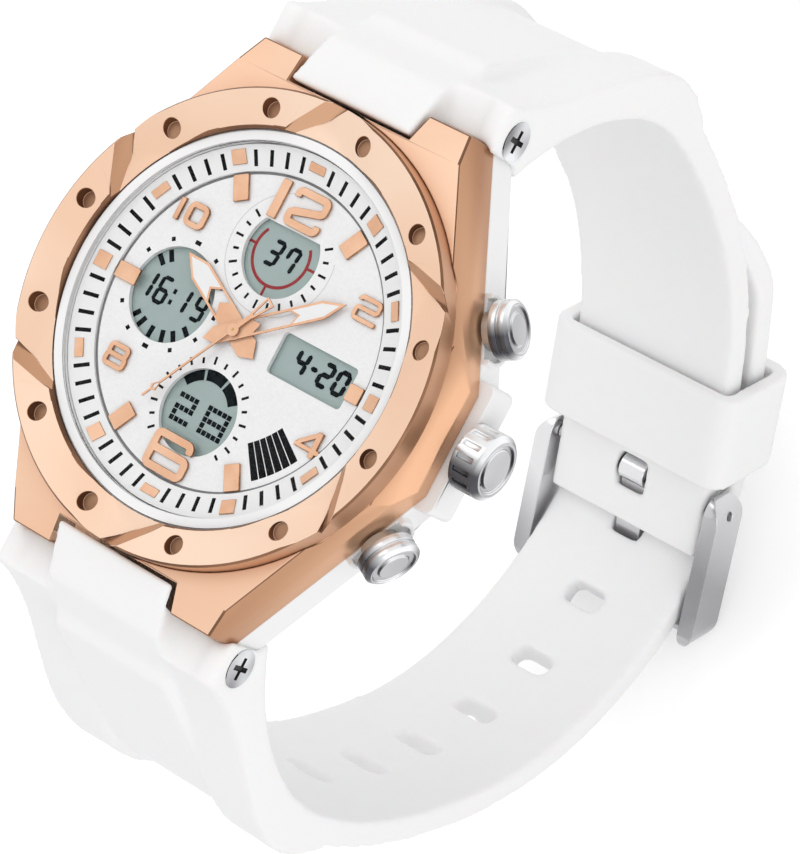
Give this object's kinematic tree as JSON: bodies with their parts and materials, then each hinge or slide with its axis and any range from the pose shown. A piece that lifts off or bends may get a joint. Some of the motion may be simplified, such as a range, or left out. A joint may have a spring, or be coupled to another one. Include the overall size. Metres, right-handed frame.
{
  "type": "analogue digital wrist watch",
  "caption": "Round wrist watch with hands over a multi-window digital display, swirled metal bezel, metal-clad white case, pushers, crown, and a buckled soft strap.",
  "frame": {"origin": "centre of the flat outer face of the case back, under the axis of the hands", "axes": "+Z out of the dial, +Y towards 12 o'clock, +X towards 3 o'clock and the crown"},
  "size_m": [0.0493, 0.0822, 0.0967],
  "materials": {
    "battery_steel": "nickel plated steel can",
    "black_rubber": "black nitrile rubber",
    "board_laminate": "green solder mask on laminate",
    "brass_plate": "satin brass plate",
    "brass_wheel": "brass wheel",
    "brushed_back": "circular brushed stainless steel",
    "coil_copper": "enamelled copper wire",
    "connector_rubber": "layered conductive rubber",
    "contact_brass": "gold flashed spring brass",
    "crystal_glass": "clear mineral glass",
    "dial_face": "white lacquer with printed scales",
    "lcd_glass": "grey green liquid crystal behind glass",
    "movement_steel": "hardened steel",
    "polished_steel": "polished stainless steel",
    "rose_applied": "rose gold plated, faceted",
    "rose_gold": "rose gold plating, polished",
    "rose_hand": "rose gold plated hand with white fill",
    "spring_steel": "bare spring steel",
    "white_flange": "white plastic flange with printed minute scale",
    "white_gasket": "white plastic crystal gasket",
    "white_module": "white moulded plastic",
    "white_resin": "white moulded resin, satin to glossy",
    "white_strap": "soft white silicone, satin"
  },
  "bodies": {
    "case": {"back_cushion": "black_rubber", "back_gasket": "black_rubber", "back_screws": "polished_steel", "battery": "battery_steel", "battery_clamp": "spring_steel", "bezel": "rose_gold", "buckle_bar": "polished_steel", "button_contacts": "contact_brass", "case_back": "brushed_back", "case_cover": "rose_gold", "circuit_board": "board_laminate", "coil": "coil_copper", "crown_tube": "movement_steel", "crystal": "crystal_glass", "crystal_gasket": "white_gasket", "dial_plate": "dial_face", "flange_markers": "rose_applied", "flange_ring": "white_flange", "hour_blocks": "rose_applied", "hour_numerals": "rose_applied", "lcd_holder": "white_module", "lcd_panel": "lcd_glass", "main_plate": "brass_plate", "mid_case": "white_resin", "module_frame": "white_module", "pillar_screws": "movement_steel", "pusher_spring_lower": "spring_steel", "pusher_spring_upper": "spring_steel", "pusher_tubes": "movement_steel", "rubber_connectors": "connector_rubber", "stator": "movement_steel", "strap_lower": "white_strap", "strap_screws": "polished_steel", "strap_tubes": "movement_steel", "strap_upper": "white_strap", "train_bridge": "brass_plate"},
    "second": {"second_hand": "rose_hand", "second_wheel": "brass_wheel"},
    "minute": {"minute_hand": "rose_hand", "centre_wheel": "brass_wheel"},
    "hour": {"hour_hand": "rose_hand", "hour_wheel": "brass_wheel"},
    "third_wheel": {"third_wheel": "brass_wheel"},
    "motion_wheel": {"motion_wheel": "brass_wheel"},
    "intermediate_wheel": {"intermediate_wheel": "brass_wheel"},
    "rotor": {"rotor": "movement_steel"},
    "stem_yoke": {"stem_yoke": "movement_steel"},
    "crown": {"crown": "polished_steel", "crown_stem": "movement_steel", "crown_gasket": "black_rubber"},
    "pusher_upper": {"pusher_upper": "polished_steel", "pusher_clip_upper": "spring_steel"},
    "pusher_lower": {"pusher_lower": "polished_steel", "pusher_clip_lower": "spring_steel"},
    "buckle_frame": {"buckle_frame": "polished_steel"},
    "buckle_tongue": {"buckle_tongue": "polished_steel"},
    "keeper": {"keeper": "white_strap"}
  },
  "joints": [
    {"name": "second_turn", "type": "hinge", "parent": "case", "child": "second", "pos_m": [0, 0, 0.008], "axis": [0, 0, -1], "continuous": true},
    {"name": "minute_turn", "type": "hinge", "parent": "case", "child": "minute", "pos_m": [0, 0, 0.008], "axis": [0, 0, -1], "continuous": true},
    {"name": "hour_turn", "type": "hinge", "parent": "case", "child": "hour", "pos_m": [0, 0, 0.008], "axis": [0, 0, -1], "continuous": true},
    {"name": "third_wheel_turn", "type": "hinge", "parent": "case", "child": "third_wheel", "pos_m": [-0.00344, -0.00125, 0.008], "axis": [0, 0, -1], "continuous": true},
    {"name": "motion_wheel_turn", "type": "hinge", "parent": "case", "child": "motion_wheel", "pos_m": [0.00159, -0.00275, 0.008], "axis": [0, 0, -1], "continuous": true},
    {"name": "intermediate_wheel_turn", "type": "hinge", "parent": "case", "child": "intermediate_wheel", "pos_m": [-0.00055, 0.00313, 0.008], "axis": [0, 0, -1], "continuous": true},
    {"name": "rotor_turn", "type": "hinge", "parent": "case", "child": "rotor", "pos_m": [-0.00283, 0.00445, 0.008], "axis": [0, 0, -1], "continuous": true},
    {"name": "crown_pull", "type": "slide", "parent": "case", "child": "stem_yoke", "axis": [1, 0, 0], "range_m": [0, 0.001]},
    {"name": "crown_turn", "type": "hinge", "parent": "stem_yoke", "child": "crown", "pos_m": [0.025, 0, 0.0069], "axis": [1, 0, 0], "continuous": true},
    {"name": "pusher_upper_press", "type": "slide", "parent": "case", "child": "pusher_upper", "axis": [-0.8894, -0.4571, 0], "range_m": [0, 0.0009], "stiffness_N_per_m": 800, "springref_m": -0.0015, "deforming": ["pusher_spring_upper"]},
    {"name": "pusher_lower_press", "type": "slide", "parent": "case", "child": "pusher_lower", "axis": [-0.8894, 0.4571, 0], "range_m": [0, 0.0009], "stiffness_N_per_m": 800, "springref_m": -0.0015, "deforming": ["pusher_spring_lower"]},
    {"name": "buckle_frame_swing", "type": "hinge", "parent": "case", "child": "buckle_frame", "pos_m": [0, 0.00564, -0.07148], "axis": [1, 0, 0], "range_deg": [0, 2]},
    {"name": "buckle_tongue_swing", "type": "hinge", "parent": "buckle_frame", "child": "buckle_tongue", "pos_m": [0, 0.00564, -0.07148], "axis": [1, 0, 0], "range_deg": [0, 2]},
    {"name": "keeper_slide", "type": "slide", "parent": "case", "child": "keeper", "axis": [0, 0.8241, 0.5664], "range_m": [-0.0015, 0.0015]}
  ],
  "couplings": [
    {"joint": "minute_turn", "follows": "second_turn", "ratio": 0.016667},
    {"joint": "hour_turn", "follows": "second_turn", "ratio": 0.0013889},
    {"joint": "third_wheel_turn", "follows": "second_turn", "ratio": -0.13333},
    {"joint": "motion_wheel_turn", "follows": "second_turn", "ratio": -0.0055556},
    {"joint": "intermediate_wheel_turn", "follows": "second_turn", "ratio": -5},
    {"joint": "rotor_turn", "follows": "second_turn", "ratio": 30}
  ]
}
